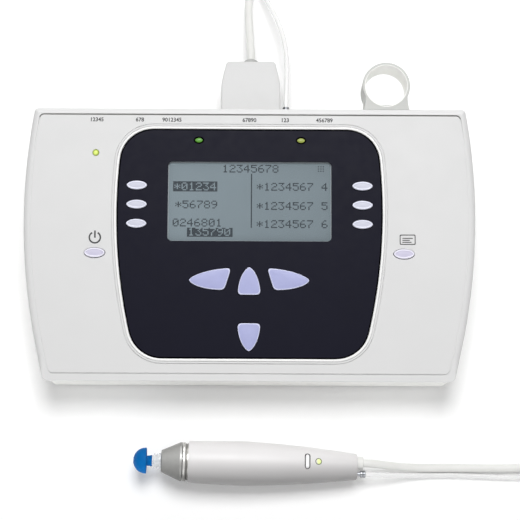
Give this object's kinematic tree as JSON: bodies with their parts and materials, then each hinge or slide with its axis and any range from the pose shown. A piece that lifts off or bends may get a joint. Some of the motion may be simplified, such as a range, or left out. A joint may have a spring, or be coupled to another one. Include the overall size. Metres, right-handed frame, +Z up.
{
  "type": "tympanometer",
  "caption": "Sloping desk console with a screen, soft keys and arrow keys, a rear holder ring, and a pen-like hand probe with a soft ear tip on a cable and a thin air tube.",
  "frame": {"origin": "on the table, in the middle of the footprint of the console with its holder ring and the probe lying in front of it", "axes": "+X to the user's right along the console's width, +Y to the back, where the sockets are, +Z up"},
  "size_m": [0.3981, 0.3948, 0.0599],
  "materials": {
    "case_plastic": "fine satin texture",
    "black_fascia": "semi-gloss print",
    "clear_window": "clear gloss",
    "sheet_metal": "plated sheet",
    "screen_glass": "smooth",
    "green_board": "solder mask",
    "dark_plastic": "satin",
    "green_lamp": "translucent",
    "steel": "turned",
    "inner_plastic": "moulded",
    "brass": "machined",
    "hose_rubber": "soft satin",
    "foot_rubber": "matte",
    "key_plastic": "satin",
    "soft_key_plastic": "satin",
    "probe_plastic": "fine satin texture",
    "nose_metal": "satin anodised",
    "chrome_ring": "polished",
    "clear_tip": "clear gloss",
    "blue_rubber": "soft silicone",
    "hood_plastic": "fine texture",
    "cable_jacket": "smooth vinyl",
    "air_tube": "clear silicone"
  },
  "bodies": {
    "console": {"lower_case": "case_plastic", "upper_case": "case_plastic", "fascia_panel": "black_fascia", "lcd_window": "clear_window", "lcd_frame": "sheet_metal", "lcd_glass": "screen_glass", "key_board": "green_board", "tactile_switches": "dark_plastic", "ear_lamps": "green_lamp", "power_lamp": "green_lamp", "main_board": "green_board", "board_components": "dark_plastic", "pump_motor": "steel", "pump_cylinder": "inner_plastic", "pressure_manifold": "brass", "inner_air_hose": "hose_rubber", "power_socket": "dark_plastic", "data_socket": "sheet_metal", "printer_socket": "dark_plastic", "probe_socket": "sheet_metal", "air_port": "steel", "headphone_jack": "dark_plastic", "rubber_feet": "foot_rubber", "case_screws": "steel", "board_screws": "steel", "probe_holder": "case_plastic", "holder_screws": "steel", "plug_hood": "hood_plastic", "plug_connector": "sheet_metal", "cable_rear_run": "cable_jacket", "cable_coil": "cable_jacket", "cable_front_run": "cable_jacket", "tube_rear_run": "air_tube", "tube_coil": "air_tube", "tube_front_run": "air_tube"},
    "soft_key_left_1_cap": {"soft_key_left_1": "soft_key_plastic"},
    "soft_key_left_2_cap": {"soft_key_left_2": "soft_key_plastic"},
    "soft_key_left_3_cap": {"soft_key_left_3": "soft_key_plastic"},
    "soft_key_right_1_cap": {"soft_key_right_1": "soft_key_plastic"},
    "soft_key_right_2_cap": {"soft_key_right_2": "soft_key_plastic"},
    "soft_key_right_3_cap": {"soft_key_right_3": "soft_key_plastic"},
    "arrow_key_left_cap": {"arrow_key_left": "key_plastic"},
    "arrow_key_right_cap": {"arrow_key_right": "key_plastic"},
    "arrow_key_up_cap": {"arrow_key_up": "key_plastic"},
    "arrow_key_down_cap": {"arrow_key_down": "key_plastic"},
    "power_key_cap": {"power_key": "soft_key_plastic"},
    "display_key_cap": {"display_key": "soft_key_plastic"},
    "pump_lead_screw": {"pump_screw": "steel"},
    "pump_plunger": {"pump_piston": "inner_plastic"},
    "probe": {"probe_handle": "probe_plastic", "probe_thread_ring": "chrome_ring", "probe_core": "dark_plastic", "probe_board": "green_board", "probe_lamp": "green_lamp", "cable_boot": "probe_plastic", "probe_air_fitting": "steel"},
    "probe_push_button": {"probe_button": "probe_plastic"},
    "probe_tip_body": {"probe_tip": "clear_tip"},
    "nose_cone": {"probe_nose_cone": "nose_metal"},
    "soft_ear_tip": {"ear_tip": "blue_rubber"}
  },
  "joints": [
    {"name": "soft_key_left_1_press", "type": "slide", "parent": "console", "child": "soft_key_left_1_cap", "axis": [0, 0.1736, -0.9848], "range_m": [0, 0.0006], "stiffness_N_per_m": 400, "springref_m": -0.0008},
    {"name": "soft_key_left_2_press", "type": "slide", "parent": "console", "child": "soft_key_left_2_cap", "axis": [0, 0.1736, -0.9848], "range_m": [0, 0.0006], "stiffness_N_per_m": 400, "springref_m": -0.0008},
    {"name": "soft_key_left_3_press", "type": "slide", "parent": "console", "child": "soft_key_left_3_cap", "axis": [0, 0.1736, -0.9848], "range_m": [0, 0.0006], "stiffness_N_per_m": 400, "springref_m": -0.0008},
    {"name": "soft_key_right_1_press", "type": "slide", "parent": "console", "child": "soft_key_right_1_cap", "axis": [0, 0.1736, -0.9848], "range_m": [0, 0.0006], "stiffness_N_per_m": 400, "springref_m": -0.0008},
    {"name": "soft_key_right_2_press", "type": "slide", "parent": "console", "child": "soft_key_right_2_cap", "axis": [0, 0.1736, -0.9848], "range_m": [0, 0.0006], "stiffness_N_per_m": 400, "springref_m": -0.0008},
    {"name": "soft_key_right_3_press", "type": "slide", "parent": "console", "child": "soft_key_right_3_cap", "axis": [0, 0.1736, -0.9848], "range_m": [0, 0.0006], "stiffness_N_per_m": 400, "springref_m": -0.0008},
    {"name": "arrow_key_left_press", "type": "slide", "parent": "console", "child": "arrow_key_left_cap", "axis": [0, 0.1736, -0.9848], "range_m": [0, 0.0006], "stiffness_N_per_m": 400, "springref_m": -0.0008},
    {"name": "arrow_key_right_press", "type": "slide", "parent": "console", "child": "arrow_key_right_cap", "axis": [0, 0.1736, -0.9848], "range_m": [0, 0.0006], "stiffness_N_per_m": 400, "springref_m": -0.0008},
    {"name": "arrow_key_up_press", "type": "slide", "parent": "console", "child": "arrow_key_up_cap", "axis": [0, 0.1736, -0.9848], "range_m": [0, 0.0006], "stiffness_N_per_m": 400, "springref_m": -0.0008},
    {"name": "arrow_key_down_press", "type": "slide", "parent": "console", "child": "arrow_key_down_cap", "axis": [0, 0.1736, -0.9848], "range_m": [0, 0.0006], "stiffness_N_per_m": 400, "springref_m": -0.0008},
    {"name": "power_key_press", "type": "slide", "parent": "console", "child": "power_key_cap", "axis": [0, 0.1736, -0.9848], "range_m": [0, 0.0006], "stiffness_N_per_m": 400, "springref_m": -0.0008},
    {"name": "display_key_press", "type": "slide", "parent": "console", "child": "display_key_cap", "axis": [0, 0.1736, -0.9848], "range_m": [0, 0.0006], "stiffness_N_per_m": 400, "springref_m": -0.0008},
    {"name": "pump_screw_turn", "type": "hinge", "parent": "console", "child": "pump_lead_screw", "pos_m": [0, -0.0241, 0.017], "axis": [1, 0, 0], "range_deg": [-1150, 1150]},
    {"name": "pump_stroke", "type": "slide", "parent": "console", "child": "pump_plunger", "axis": [1, 0, 0], "range_m": [-0.012, 0.012]},
    {"name": "probe_lift", "type": "slide", "parent": "console", "child": "probe", "axis": [0, 0, 1], "range_m": [0, 0.1]},
    {"name": "probe_button_press", "type": "slide", "parent": "probe", "child": "probe_push_button", "axis": [-0.0436, 0.0008, -0.999], "range_m": [0, 0.0005], "stiffness_N_per_m": 600, "springref_m": -0.0008},
    {"name": "nose_travel", "type": "slide", "parent": "probe", "child": "probe_tip_body", "axis": [-0.9989, 0.0174, 0.0436], "range_m": [0, 0.0045]},
    {"name": "nose_turn", "type": "hinge", "parent": "probe_tip_body", "child": "nose_cone", "pos_m": [-0.04495, -0.11442, 0.01507], "axis": [-0.9989, 0.0174, 0.0436], "range_deg": [0, 1150]},
    {"name": "ear_tip_pull", "type": "slide", "parent": "probe_tip_body", "child": "soft_ear_tip", "axis": [-0.9989, 0.0174, 0.0436], "range_m": [0, 0.012]}
  ],
  "couplings": [
    {"joint": "pump_screw_turn", "follows": "pump_stroke", "rad_per_m": 1570.7},
    {"joint": "nose_turn", "follows": "nose_travel", "rad_per_m": 4188.7}
  ]
}
